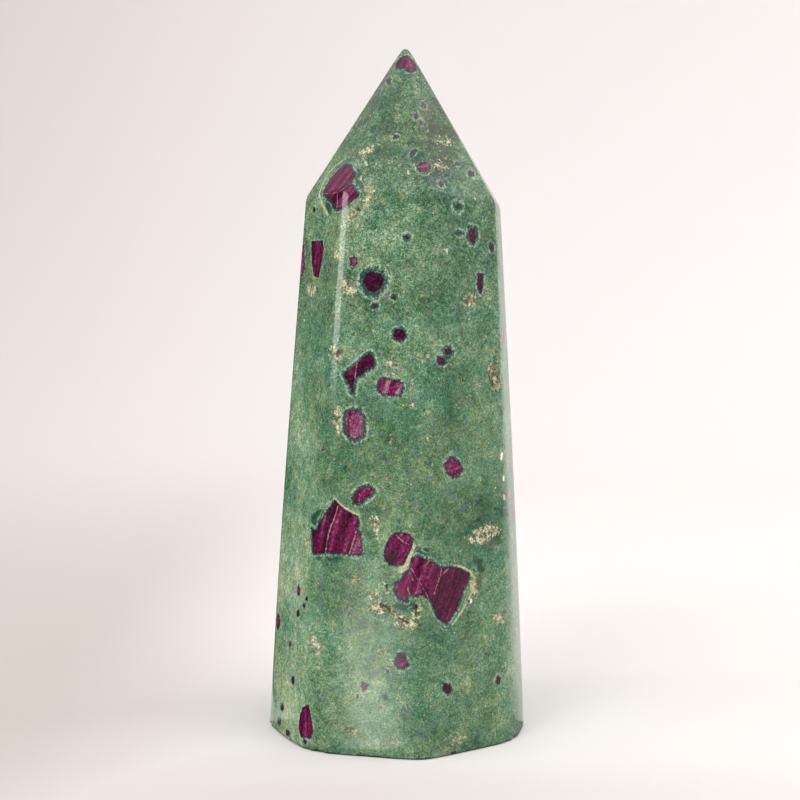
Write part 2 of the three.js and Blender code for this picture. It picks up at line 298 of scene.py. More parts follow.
# Crumbly pale patches, or dark green ones where the strength is below zero:
# x, z, width, height, tilt in degrees, strength.
SEAMS = [
    # pale
    (-4.7, 93.8, 2.2, 1.0, 10, 1.1), (-6.9, 91.0, 1.2, 2.2, -20, 0.5), (-4.6, 86.0, 1.0, 3.6, -20, 0.9),
    (-6.6, 83.8, 2.6, 1.4, 30, 0.9), (-7.9, 71.8, 1.6, 3.0, 35, 1.2), (-9.5, 77.2, 0.9, 0.9, 0, 1.0),
    (-13.9, 71.4, 1.4, 2.0, 0, 0.9), (-9.9, 61.0, 1.8, 2.4, 20, 1.0), (-0.6, 59.3, 2.2, 1.0, -10, 1.1),
    (-0.2, 58.0, 1.0, 1.0, 0, 0.7), (-9.5, 50.4, 0.9, 3.8, 0, 1.1), (11.9, 69.7, 2.0, 2.0, 20, 0.9),
    (14.6, 71.2, 0.8, 3.6, 10, 0.6), (7.2, 77.6, 2.4, 1.0, 20, 0.8), (4.6, 60.9, 2.8, 1.6, 0, 0.7),
    (16.0, 57.4, 1.6, 4.6, 12, 1.2), (13.3, 56.2, 1.2, 1.4, 0, 0.5), (-3.4, 32.6, 1.1, 4.4, 5, 0.9),
    (-14.6, 31.0, 0.7, 4.4, 0, 0.7), (-6.7, 23.8, 1.4, 1.4, 0, 0.8), (-3.2, 19.3, 2.6, 2.0, -20, 1.5),
    (-3.4, 21.4, 1.4, 1.2, 0, 0.8), (-1.6, 22.7, 1.0, 1.2, 0, 1.0), (0.0, 18.1, 7.0, 1.3, -32, 1.2),
    (3.4, 18.6, 1.8, 2.6, 0, 1.1), (1.6, 16.4, 3.6, 1.6, -15, 0.9), (14.4, 31.4, 5.0, 2.2, 25, 1.2),
    (17.0, 17.6, 2.2, 1.6, 20, 1.0), (13.2, 22.0, 0.5, 1.6, 0, 1.2), (-13.2, 12.7, 1.0, 2.4, 15, 1.0),
    (-7.7, -1.3, 2.4, 1.0, 0, 0.9), (-2.2, 12.0, 2.4, 0.8, 0, 0.7), (-1.1, 9.5, 1.6, 1.4, 0, 0.7),
    (6.5, 9.3, 1.6, 0.8, 40, 0.5), (10.2, -2.7, 2.8, 0.8, 0, 0.8), (17.6, 9.6, 1.0, 1.2, -30, 0.9),
    (6.9, 91.6, 2.0, 0.9, -10, 0.8), (7.8, 95.2, 3.2, 1.8, -20, 0.45), (2.8, 55.3, 1.0, 1.0, 0, 0.6),
    (2.7, 52.7, 1.4, 1.5, 0, 0.6), (7.6, 89.7, 1.0, 1.4, 0, 0.6), (0.2, 100.0, 0.8, 2.4, 10, 0.5),
    # dark green
    (-10.8, 85.1, 1.2, 2.1, 0, -1.8), (-6.0, 89.3, 1.3, 3.2, 15, -1.5),
    (-12.8, 34.2, 2.0, 2.6, -30, -1.6), (-9.8, 27.6, 7.6, 0.6, 0, -1.1), (4.2, 28.6, 3.4, 1.3, -20, -1.2),
    (1.4, 19.5, 4.4, 1.4, -5, -1.5), (3.4, 92.9, 2.8, 1.6, 40, -0.9), (9.2, 87.0, 4.0, 3.4, 0, -0.5),
    (-1.8, 4.4, 1.0, 1.0, 0, -1.0), (13.6, 26.6, 1.4, 3.4, 20, -0.9),
]

# Thin lines, cream where the strength is above zero and dark where it is below, and white,
# a painted highlight, where it is above about 1.3: course, width, strength.
VEINS = [
    # about the shoulder ruby
    ([(-8.8, 92.1), (-9.8, 91.4), (-10.9, 90.3), (-12.1, 88.0), (-12.5, 86.8), (-12.1, 85.5),
      (-11.1, 83.5)], 0.5, 0.9),
    ([(-6.3, 93.6), (-6.6, 92.3)], 0.25, -0.8),
    ([(-5.7, 89.7), (-5.7, 89.2)], 0.35, 1.2),
    ([(-5.0, 91.9), (-4.8, 91.5)], 0.4, 1.2),
    ([(-6.3, 84.5), (-5.9, 84.2)], 0.4, -1.2),
    # about the dull one on the crown
    ([(2.9, 91.6), (3.1, 90.5), (4.0, 89.9), (5.0, 89.9), (5.9, 90.6), (6.3, 91.6)], 0.25, 0.7),
    # about the great left ruby
    ([(-10.0, 37.3), (-9.1, 36.4), (-8.1, 35.6), (-7.1, 35.0), (-6.2, 34.7)], 0.3, 1.4),
    ([(-10.2, 37.4), (-11.1, 36.7), (-11.8, 36.0)], 0.22, 0.6),
    # between the round ruby and the cluster
    ([(3.0, 29.6), (2.5, 28.4), (2.0, 27.4), (1.7, 26.5)], 0.5, 1.2),
    ([(2.0, 27.2), (1.6, 26.4), (1.1, 25.6), (0.6, 25.3)], 0.7, 1.1),
    # a hollow in the round ruby
    ([(-1.1, 28.2), (-0.7, 27.8)], 0.35, -1.4),
    # about the cluster
    ([(9.3, 26.3), (10.6, 26.1), (12.0, 25.4), (12.8, 24.2), (12.8, 22.6), (11.8, 20.5), (10.9, 18.9),
      (9.9, 17.3), (9.2, 16.5)], 0.42, 0.8),
    ([(12.4, 23.4), (12.5, 22.2)], 0.9, 0.9),
    ([(5.3, 20.6), (5.3, 19.5), (5.6, 18.2)], 0.35, 0.5),
    ([(12.3, 20.6), (12.25, 20.2)], 0.42, 1.8),
    ([(11.9, 20.4), (11.8, 20.2)], 0.3, -1.2),
    ([(12.7, 25.6), (12.9, 25.2)], 0.3, -1.2),
    # low, under the round ruby
    ([(-2.5, 19.9), (-1.1, 18.8)], 0.4, -1.5),
    ([(0.3, 17.6), (1.5, 16.9)], 0.35, -1.2),
    ([(3.3, 19.6), (3.3, 19.1)], 0.35, -1.2),
    ([(3.2, 18.7), (3.2, 18.0)], 0.35, -1.2),
    ([(-1.7, 23.0), (-1.6, 22.6)], 0.4, -0.9),
    # painted highlights: white glints of the light on the right arris
    ([(17.25, 44.8), (17.15, 43.9)], 0.5, 1.7),
    ([(17.55, 41.0), (17.55, 40.4)], 0.36, 1.6),
    ([(17.65, 37.8), (17.7, 37.3)], 0.36, 1.1),
    # on the right side
    ([(15.3, 58.6), (15.0, 57.4), (15.6, 55.9), (16.3, 54.9)], 0.3, -0.9),
]

# Broad lighter and darker clouds in the rock's tone: x, z, half width, half height, amount.
# The strong pale ones low on the left facet and the lower front are painted sheen.
CLOUDS_AND_SHEEN = [
    (0.5, 84.0, 7.0, 6.0, -0.5), (-3.0, 66.0, 7.0, 5.0, 0.1), (-6.0, 60.0, 5.0, 6.0, 0.5),
    (9.0, 70.0, 7.0, 4.0, -0.3), (8.0, 78.0, 6.0, 5.0, 0.4), (0.0, 49.0, 5.0, 4.0, -0.6),
    (10.0, 42.0, 6.0, 5.0, 0.4), (10.0, 53.0, 6.0, 9.0, -1.2), (12.0, 36.0, 6.0, 6.0, -0.2),
    (7.0, 62.5, 10.0, 2.5, 0.4), (-8.0, 66.0, 4.0, 6.0, 0.6), (7.0, 96.0, 5.0, 11.0, -3.1),
    (-2.0, 98.0, 4.0, 9.0, -1.7), (-11.0, 92.0, 3.0, 6.0, 0.6), (-15.0, 50.0, 4.0, 14.0, 1.1),
    (-17.0, 24.0, 5.0, 14.0, 2.0), (-17.5, 6.0, 4.5, 12.0, 2.1), (-4.0, 10.0, 8.0, 9.0, 0.8),
    (-7.5, 21.0, 3.0, 3.0, -0.5),
]


# ---- the stone's facets, read from the frame --------------------------------------------------


def node_triangles(name):
    """Points in millimetres and triangles of a node of the frame."""
    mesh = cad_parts[name].data
    mesh.calc_loop_triangles()
    points = np.zeros(len(mesh.vertices) * 3)
    mesh.vertices.foreach_get("co", points)
    corners = np.zeros(len(mesh.loop_triangles) * 3, int)
    mesh.loop_triangles.foreach_get("vertices", corners)
    return points.reshape(-1, 3) / MM, corners.reshape(-1, 3)


def facet_planes(points, triangles):
    """Normals and offsets of the flat facets, the largest first."""
    a, b, c = (points[triangles[:, k]] for k in range(3))
    normals = np.cross(b - a, c - a)
    areas = np.linalg.norm(normals, axis=1) / 2
    normals /= np.maximum(np.linalg.norm(normals, axis=1, keepdims=True), 1e-12)
    offsets = (normals * (a + b + c) / 3).sum(1)
    free = areas > SMALLEST_TRIANGLE
    planes = []
    while free.any():
        seeds = np.argsort(-areas * free)[:300]
        together = normals[seeds] @ normals.T > math.cos(math.radians(SAME_FACET_ANGLE))
        together &= np.abs(offsets[seeds][:, None] - offsets[None]) < SAME_FACET_OFFSET
        together &= free[None]
        totals = (together * areas).sum(1)
        best = together[np.argmax(totals)]
        if totals.max() < SMALLEST_FACET:
            break
        normal = (normals[best] * areas[best, None]).sum(0)
        normal /= np.linalg.norm(normal)
        planes.append((normal, (offsets[best] * areas[best]).sum() / totals.max()))
        free &= normals @ normal < math.cos(math.radians(FACETS_APART))
    return np.array([n for n, _ in planes]), np.array([d for _, d in planes])


def soft_max(values, softness):
    """Row-wise largest value, blended over the softness, and each value's share in it."""
    top = values.max(1, keepdims=True)
    share = np.exp((values - top) / softness)
    total = share.sum(1, keepdims=True)
    return (top + softness * np.log(total))[:, 0], share / total


def level_in(normal):
    """The level direction in a facet, to the right as seen from outside."""
    right = np.cross(UP, normal)
    return right / np.linalg.norm(right)


class Polished:
    """The stone's polished surface: its facets, blended at every edge."""

    def __init__(self, points, triangles):
        normals, offsets = facet_planes(points, triangles)
        lean = np.degrees(np.arcsin(normals[:, 2]))
        side, crown = np.abs(lean) < SIDE_LEAN, lean > SIDE_LEAN
        bearing = np.arctan2(normals[:, 0], -normals[:, 1])
        order = np.array(sorted(np.nonzero(side)[0], key=lambda k: bearing[k]))
        self.side_normals, self.side_offsets = normals[order], offsets[order]
        # A level facet at the top blunts the tip.
        self.crown_normals = np.concatenate([normals[crown], UP[None]])
        self.crown_offsets = np.append(offsets[crown], points[:, 2].max())
        self.arrises = [self.measure_arris(points, k) for k in range(len(order))]

    def measure_arris(self, points, k):
        """Heights and softness of the arris between side k and the next, as the frame has them."""
        values = self.sides(points)
        after = (k + 1) % len(self.side_normals)
        rest = np.delete(values, [k, after], axis=1).max(1)
        middle = np.abs(values[:, k] - values[:, after]) < ARRIS_MIDDLE
        middle &= (values[:, k] > rest) & (points[:, 2] > ARRIS_START)
        middle &= self.crown(points).max(1) < -ARRIS_END
        heights, places = np.unique(points[middle, 2].round(1), return_index=True)
        mean = (values[middle, k] + values[middle, after])[places] / 2
        return heights, -mean / math.log(2)

    def facets(self):
        """Normals and offsets of all facets but the foot."""
        return (np.concatenate([self.side_normals, self.crown_normals]),
                np.concatenate([self.side_offsets, self.crown_offsets]))

    def sides(self, points):
        return points @ self.side_normals.T - self.side_offsets

    def crown(self, points):
        return points @ self.crown_normals.T - self.crown_offsets

    def side_softness(self, points, values):
        """Softness at each point: that of the arris it is nearest to."""
        count = values.shape[1]
        rows = np.arange(len(values))
        nearest = values.argmax(1)
        left, right = values[rows, nearest - 1], values[rows, (nearest + 1) % count]
        table = np.array([np.interp(points[:, 2], *arris) for arris in self.arrises])
        to_right = 1 / (1 + np.exp((left - right) / ARRIS_BLEND))
        return table[nearest, rows] * to_right + table[nearest - 1, rows] * (1 - to_right)

    def distance(self, points):
        """Signed distance to the surface, negative inside, and the way out."""
        sides = self.sides(points)
        side, side_share = soft_max(sides, self.side_softness(points, sides)[:, None])
        blunt = np.interp(points[:, 2:], TIP_HEIGHTS, (SOFT_CROWN, SOFT_TIP))
        crown, crown_share = soft_max(self.crown(points), blunt)
        upper, upper_share = soft_max(np.stack([side, crown], 1), SOFT_SHOULDER)
        whole, share = soft_max(np.stack([upper, -points[:, 2]], 1), SOFT_FOOT)
        out = upper_share[:, :1] * (side_share @ self.side_normals)
        out += upper_share[:, 1:] * (crown_share @ self.crown_normals)
        return whole, share[:, :1] * out - share[:, 1:] * UP

    def settle(self, points, rounds=6):
        """Moves points on to the surface."""
        for _ in range(rounds):
            value, out = self.distance(points)
            points = points - out * (value / np.maximum((out ** 2).sum(1), 0.2))[:, None]
        return points

    def normals(self, points):
        out = self.distance(points)[1]
        return out / np.linalg.norm(out, axis=1, keepdims=True)

    def sharpness(self, points):
        """0 in the middle of a facet, rising towards 1 on an edge."""
        sides, crown = self.sides(points), self.crown(points)
        top = np.sort(np.concatenate([sides, crown, -points[:, 2:]], 1), axis=1)
        return np.exp(-(top[:, -1] - top[:, -2]) / ARRIS_REACH)

    def hull(self):
        """A coarse closed mesh: the corners where three facets meet, and the faces between."""
        normals, offsets = self.facets()
        normals = np.concatenate([normals, -UP[None]])
        offsets = np.append(offsets, 0.0)
        form = bmesh.new()
        for three in combinations(range(len(normals)), 3):
            three = list(three)
            if abs(np.linalg.det(normals[three])) < 1e-4:
                continue
            corner = np.linalg.solve(normals[three], offsets[three])
            if (normals @ corner - offsets).max() < 1e-6:
                form.verts.new(corner)
        bmesh.ops.remove_doubles(form, verts=form.verts[:], dist=MERGE_CORNERS)
        bmesh.ops.convex_hull(form, input=form.verts[:])
        bmesh.ops.triangulate(form, faces=form.faces[:])
        form.normal_update()
        form.verts.index_update()
        points = np.array([v.co[:] for v in form.verts])
        triangles = np.array([[v.index for v in f.verts] for f in form.faces])
        form.free()
        return points, triangles


# ---- where the markings lie on the stone ------------------------------------------------------


class Window:
    """A facet, measured along sight lines from an eye: right and uphill on it, in millimetres."""

    def __init__(self, stone, eye, toward):
        normals, offsets = stone.facets()
        closing = normals @ (toward - eye)
        reach = np.where(closing < 0, (offsets - normals @ eye) / closing, -FAR)
        facet = reach.argmax()
        self.eye, self.normal, self.offset = eye, normals[facet], offsets[facet]
        self.right = level_in(self.normal)
        self.uphill = np.cross(self.normal, self.right)

    def measure(self, points):
        """The places on the facet that the points cover, and their depth below it."""
        sight = points - self.eye
        reach = (self.offset - self.normal @ self.eye) / (sight @ self.normal)
        places = self.eye + sight * reach[:, None]
        return (np.stack([places @ self.right, places @ self.uphill], 1),
                self.offset - points @ self.normal)

    def front_view(self, outline):
        """Moves an outline given as (x, z) in the front view on to the facet."""
        return self.measure(np.array([(x, 0.0, z) for x, z in outline]))[0]

    def near(self, edge, points, reach):
        """Which points an outline on the facet can mark, and their places on it."""
        places, depth = self.measure(points)
        low, high = edge.min(0) - reach, edge.max(0) + reach
        close = ((places > low) & (places < high)).all(1) & (np.abs(depth) < MARK_DEPTH)
        return np.nonzero(close)[0], places[close]


def front_window(stone, x, z):
    """The facet that the front view shows at (x, z)."""
    return Window(stone, EYE, np.array([x, 0.0, z]))


def line_distance(places, course):
    """Distance to a line through the points of a course."""
    nearest = np.full(len(places), FAR)
    for a, b in zip(course, course[1:]):
        edge, away = b - a, places - a
        along = np.clip(away @ edge / (edge @ edge), 0, 1)
        nearest = np.minimum(nearest, np.linalg.norm(away - along[:, None] * edge, axis=1))
    return nearest


def outline_distance(places, outline):
    """Signed distance to a closed outline, negative inside it."""
    inside = np.zeros(len(places), bool)
    ring = np.concatenate([outline, outline[:1]])
    for a, b in zip(ring, ring[1:]):
        if a[1] != b[1]:
            edge, away = b - a, places - a
            crosses = (a[1] > places[:, 1]) != (b[1] > places[:, 1])
            inside ^= crosses & (away[:, 0] < edge[0] * away[:, 1] / edge[1])
    return np.where(inside, -1, 1) * line_distance(places, ring)


def right_of(places, course):
    """How far places lie to the right of a course, taken as straight from end to end."""
    edge, away = course[-1] - course[0], places - course[0]
    return (away[:, 0] * edge[1] - away[:, 1] * edge[0]) / np.linalg.norm(edge)


def keep_stronger(field, rows, amount):
    """Puts amounts into the rows of a field, wherever they are stronger than what it has."""
    stronger = np.abs(amount) > np.abs(field[rows])
    field[rows[stronger]] = amount[stronger]


def crystal(random, size):
    """The outline of a ruby cut at random: five to seven straight edges, about its middle."""
    corners = random.integers(5, 8)
    stretch = random.uniform(1.0, 1.7)
    turn = random.uniform(0, math.pi)
    angles = 2 * math.pi * (np.arange(corners) + random.uniform(-0.22, 0.22, corners)) / corners
    radii = size / 2 * random.uniform(0.8, 1.1, corners)
    flat = np.stack([radii * np.cos(angles) * stretch ** 0.5,
                     radii * np.sin(angles) / stretch ** 0.5], 1)
    return flat @ np.array([[math.cos(turn), math.sin(turn)], [-math.sin(turn), math.cos(turn)]])


class Marked:
    """The rubies, seams and veins, each laid on its facet."""

    def __init__(self, stone):
        self.rubies, self.seams, self.veins = [], [], []
        for ruby in RUBIES:
            window = front_window(stone, *np.mean(ruby.outline, axis=0))
            cracks = [(window.front_view(crack.course), crack.step, crack.healed)
                      for crack in ruby.cracks]
            self.rubies.append((window, window.front_view(ruby.outline), ruby, cracks))
        for x, z, width, height, tilt, strength in SEAMS:
            window = front_window(stone, x, z)
            edge = window.front_view(grain_shape(x, z, width, height, tilt, corners=12))
            self.seams.append((window, edge, strength))
        for course, width, strength in VEINS:
            window = front_window(stone, *np.mean(course, axis=0))
            self.veins.append((window, window.front_view(course), width, strength))
        random = np.random.default_rng(SEED)
        for normal, offset in zip(*stone.facets()):
            if normal[1] >= FACES_BACK:
                for size in UNSEEN_SIZES:
                    self.add_at_random(stone, normal, offset, size, random)

    def add_at_random(self, stone, normal, offset, size, random):
        """A ruby on an unseen facet, left out where it would overlap an edge or another one."""
        crown = normal[2] > math.sin(math.radians(SIDE_LEAN))
        if crown and size > LARGEST_ON_CROWN:
            return
        right = level_in(normal)
        uphill = np.cross(normal, right)
        height = random.uniform(*(UNSEEN_ON_CROWN if crown else UNSEEN_ON_SIDES))
        spread = (HEIGHT - height) / CROWN_TAPER if crown else UNSEEN_SPREAD
        middle = normal * offset + right * random.uniform(-1, 1) * spread
        middle += uphill * (height - middle[2]) / uphill[2]
        window = Window(stone, middle + normal * FAR, middle)
        if window.normal @ normal < 0.999 or middle[1] < size:
            return
        place = window.measure(middle[None])[0][0]
        shape = crystal(random, size) + place
        if any(np.linalg.norm(place - edge.mean(0)) < 0.75 * size + UNSEEN_GAP
               for other, edge, *_ in self.rubies if other.normal @ normal > 0.999):
            return
        cracks = []
        if size > SMALLEST_CRACKED:
            lean = random.uniform(0.3, 0.7)
            course = np.array([shape[0] * lean + shape[1] * (1 - lean),
                               shape[3] * lean + shape[4] * (1 - lean)])
            cracks.append((course, random.uniform(-0.25, 0.25), True))
        looks = Ruby([], grain=random.uniform(20, 100), tone=random.uniform(0.2, 0.75),
                     rim=random.uniform(0.15, 0.45), halo=random.uniform(0.2, 0.8))
        self.rubies.append((window, shape, looks, cracks))
        if random.random() < UNSEEN_SEAMS:
            beside = place + random.normal(size=2) * (size * 0.5 + 1.0)
            edge = np.array(grain_shape(*beside, random.uniform(1, 3), random.uniform(1, 4),
                                        random.uniform(-60, 60), corners=12))
            self.seams.append((window, edge, random.uniform(0.6, 1.0)))

    def ruby_fields(self, points):
        """Distance to the nearest ruby, its tone, rim and halo, its place, and its cracks'."""
        count = len(points)
        distance, crack = np.full(count, MARK_REACH), np.full(count, MARK_REACH)
        looks, grain = np.full((count, 3), 0.5), np.zeros((count, 3))
        for number, (window, edge, ruby, cracks) in enumerate(self.rubies):
            rows, places = window.near(edge, points, MARK_REACH)
            away = outline_distance(places, edge)
            nearer = away < distance[rows]
            rows, places, away = rows[nearer], places[nearer], away[nearer]
            distance[rows] = away
            looks[rows] = ruby.tone, ruby.rim, ruby.halo
            turn = math.radians(ruby.grain)
            grain[rows, 0] = places @ (math.cos(turn), math.sin(turn))
            grain[rows, 1] = places @ (-math.sin(turn), math.cos(turn))
            grain[rows, 2] = number * 7.3
            crack[rows] = MARK_REACH
            for course, step, healed in cracks:
                looks[rows, 0] += step / (1 + np.exp(-right_of(places, course) / CRACK_BLEND))
                if healed:
                    crack[rows] = np.minimum(crack[rows], line_distance(places, course))
        return distance, looks, grain, crack

    def seam_field(self, points):
        """0 away from the seams, up to their strength in the middle of one, below 0 where dark."""
        field = np.zeros(len(points))
        for window, edge, strength in self.seams:
            rows, places = window.near(edge, points, SEAM_BLEND)
            inward = (SEAM_BLEND - outline_distance(places, edge)) / (2 * SEAM_BLEND)
            keep_stronger(field, rows, strength * np.clip(inward, 0, 1))
        return field

    def vein_field(self, points):
        """1 and over along a cream vein, -1 along a dark one, and the distance to the nearest."""
        field, nearest = np.zeros(len(points)), np.full(len(points), MARK_REACH)
        for window, course, width, strength in self.veins:
            rows, places = window.near(course, points, MARK_REACH)
            away = line_distance(places, course)
            nearest[rows] = np.minimum(nearest[rows], away)
            keep_stronger(field, rows, strength * np.clip(1.5 - 2 * away / width, 0, 1))
        return field, nearest


def cloud_field(points, normals):
    """Broad lighter and darker clouds, as seen from the front, with painted sheen among them."""
    field = np.zeros(len(points))
    reach = -EYE[1] / (points[:, 1] - EYE[1])
    across = EYE[0] + (points[:, 0] - EYE[0]) * reach
    up = EYE[2] + (points[:, 2] - EYE[2]) * reach
    shown = normals[:, 1] < 0.2
    for x, z, width, height, amount in CLOUDS_AND_SHEEN:
        away = ((across - x) / width) ** 2 + ((up - z) / height) ** 2
        field += shown * amount * np.exp(-away * 2)
    return field


# ---- the mesh and its relief: open pits and rough seams ---------------------------------------


def refine(points, triangles, settle, wanted):
    """Halves edges, longest first, until none is longer than wanted at its middle."""
    fresh = np.ones(len(triangles), bool)
    for _ in range(REFINE_ROUNDS):
        pairs = np.sort(triangles[:, [[0, 1], [1, 2], [2, 0]]].reshape(-1, 2), axis=1)
        edges, back = np.unique(pairs, axis=0, return_inverse=True)
        back = back.reshape(-1, 3)
        ends = points[edges]
        lengths = np.linalg.norm(ends[:, 0] - ends[:, 1], axis=1)
        check = np.zeros(len(edges), bool)
        check[back[fresh]] = True
        check &= lengths > EDGE_CRACK
        marked = np.zeros(len(edges), bool)
        marked[check] = lengths[check] > wanted(ends[check].mean(1))
        if not marked.any():
            break
        rows = np.arange(len(triangles))
        longest = lengths[back].argmax(1)
        while True:
            touched = marked[back].any(1)
            needed = back[rows, longest][touched]
            if marked[needed].all():
                break
            marked[needed] = True
        middle = np.full(len(edges), -1)
        middle[marked] = len(points) + np.arange(marked.sum())
        points = np.concatenate([points, settle(ends[marked].mean(1))])
        turn = (longest[:, None] + np.arange(3)) % 3
        a, b, c = np.take_along_axis(triangles, turn, 1).T
        ab, bc, ca = middle[np.take_along_axis(back, turn, 1)].T
        split = ab >= 0
        left, right = split & (ca >= 0), split & (bc >= 0)
        parts = [
            ((a, b, c), ~split),
            ((a, ab, c), split & ~left), ((a, ab, ca), left), ((ab, c, ca), left),
            ((ab, b, c), split & ~right), ((ab, b, bc), right), ((ab, bc, c), right),
        ]
        triangles = np.concatenate([np.stack(part, 1)[rows] for part, rows in parts])
        fresh = np.arange(len(triangles)) >= (~split).sum()
    return points, triangles


def pit_finder(points, stone):
    """A tree of the frame's points that lie below the polished surface, in its pits."""
    below = stone.distance(points)[0] < -PIT_SHOWS
    tree = KDTree(int(below.sum()))
    for number, point in enumerate(points[below]):
        tree.insert(point, number)
    tree.balance()
    return tree


def wanted_edges(points, stone, marked, pits):
    """The longest mesh edge that suits each place."""
    wanted = np.where(points[:, 2] < 0.01, EDGE_FOOT, EDGE_PLAIN)
    sharp = stone.sharpness(points)
    wanted = np.minimum(wanted, EDGE_ARRIS + (1 - sharp) ** 2 * 12)
    distance, _, _, crack = marked.ruby_fields(points)
    wanted = np.minimum(wanted, EDGE_OUTLINE + np.maximum(np.abs(distance) - 0.15, 0) * 1.2)
    healed = EDGE_CRACK + np.maximum(crack - 0.12, 0) * 0.8
    wanted = np.where(distance < 0, np.minimum(wanted, healed), wanted)
    nearest = marked.vein_field(points)[1]
    wanted = np.minimum(wanted, EDGE_CRACK + np.maximum(nearest - 0.2, 0) * 0.8)
    seam = marked.seam_field(points)
    wanted = np.where(np.abs(seam) > 0.15, np.minimum(wanted, EDGE_SEAM), wanted)
    for row in np.nonzero((wanted > EDGE_PIT) & (points[:, 2] > 0.01))[0]:
        if pits.find(points[row])[2] < PIT_REACH / 2:
            wanted[row] = EDGE_PIT
    return wanted


def roughness(point, scale):
    """A random roughness from 0 to about 1 at a place."""
    return 0.5 + 0.5 * noise.fractal(Vector(point) * scale, 1.0, 2.0, 3)


def relief(points, normals, seam, pits, surface):
    """How far each point lies below the polish: the frame's pits, and the seams' small ones."""
    depths = np.zeros(len(points))
    for row, (point, normal) in enumerate(zip(points, normals)):
        if pits.find(point)[2] < PIT_REACH / 2:
            hit = surface.ray_cast(Vector(point + normal), Vector(-normal), 5.0)
            if hit[0] is not None:
                depths[row] = max(hit[3] - 1.0, 0.0)
    pit = np.clip(depths / PIT_FULL, 0, 1)
    for row in np.nonzero(depths > SCRATCH)[0]:
        depths[row] *= 1 + PIT_ROUGHNESS * (roughness(points[row], 1.9) - 0.5) * 2
    for row in np.nonzero(seam > 0.35)[0]:
        hollow = max(roughness(points[row], 0.8) - 0.42, 0.0)
        depths[row] += SEAM_RELIEF * min(seam[row], 1.0) * hollow * 4
    return depths, pit


def corner_normals(mesh, stone, points, triangles, depths):
    """The polish's normal a little inside each triangle's corners, or the mesh's own in a pit."""
    bumpy = np.zeros(len(points) * 3)
    mesh.vertex_normals.foreach_get("vector", bumpy)
    bumpy = bumpy.reshape(-1, 3)[triangles.ravel()]
    rough = np.clip(depths / SCRATCH, 0, 1)[triangles.ravel(), None]
    middles = points[triangles].mean(1, keepdims=True)
    corners = points[triangles] * (1 - CORNER_INSET) + middles * CORNER_INSET
    smooth = stone.normals(corners.reshape(-1, 3))
    return (smooth * (1 - rough) + bumpy * rough).tolist()


def add_fields(mesh, **fields):
    """Stores one number, or three, at each point of the mesh, under each name."""
    for name, values in fields.items():
        single = values.ndim == 1
        field = mesh.attributes.new(name, "FLOAT" if single else "FLOAT_VECTOR", "POINT")
        field.data.foreach_set("value" if single else "vector", values.ravel())


def polished_mesh():
    """The stone's fine mesh, with the fields that its material reads."""
    frame_points, frame_triangles = node_triangles(STONE)
    stone = Polished(frame_points, frame_triangles)
    marked = Marked(stone)
    pits = pit_finder(frame_points, stone)
    surface = BVHTree.FromPolygons([tuple(p) for p in frame_points], frame_triangles.tolist())
    points, triangles = stone.hull()
    points, triangles = refine(stone.settle(points, 60), triangles, stone.settle,
                               lambda places: wanted_edges(places, stone, marked, pits))
    normals = stone.normals(points)
    seam = marked.seam_field(points)
    depths, pit = relief(points, normals, seam, pits, surface)
    distance, looks, grain, crack = marked.ruby_fields(points)

    mesh = bpy.data.meshes.new("polished_point")
    mesh.from_pydata(((points - normals * depths[:, None]) * MM).tolist(), [], triangles.tolist())
    mesh.validate()
    mesh.shade_smooth()
    mesh.normals_split_custom_set(corner_normals(mesh, stone, points, triangles, depths))
    add_fields(mesh, ruby=distance, ruby_looks=looks, ruby_grain=grain, crack=crack, seam=seam,
               vein=marked.vein_field(points)[0], pit=pit, cloud=cloud_field(points, normals))
    return mesh


# ---- materials --------------------------------------------------------------------------------


def colour(red, green, blue):
    """A colour given as it looks on screen, from 0 to 255, in the linear values shaders use."""
    return tuple(((v / 255 + 0.055) / 1.055) ** 2.4 if v > 10 else v / 3295
                 for v in (red, green, blue)) + (1.0,)


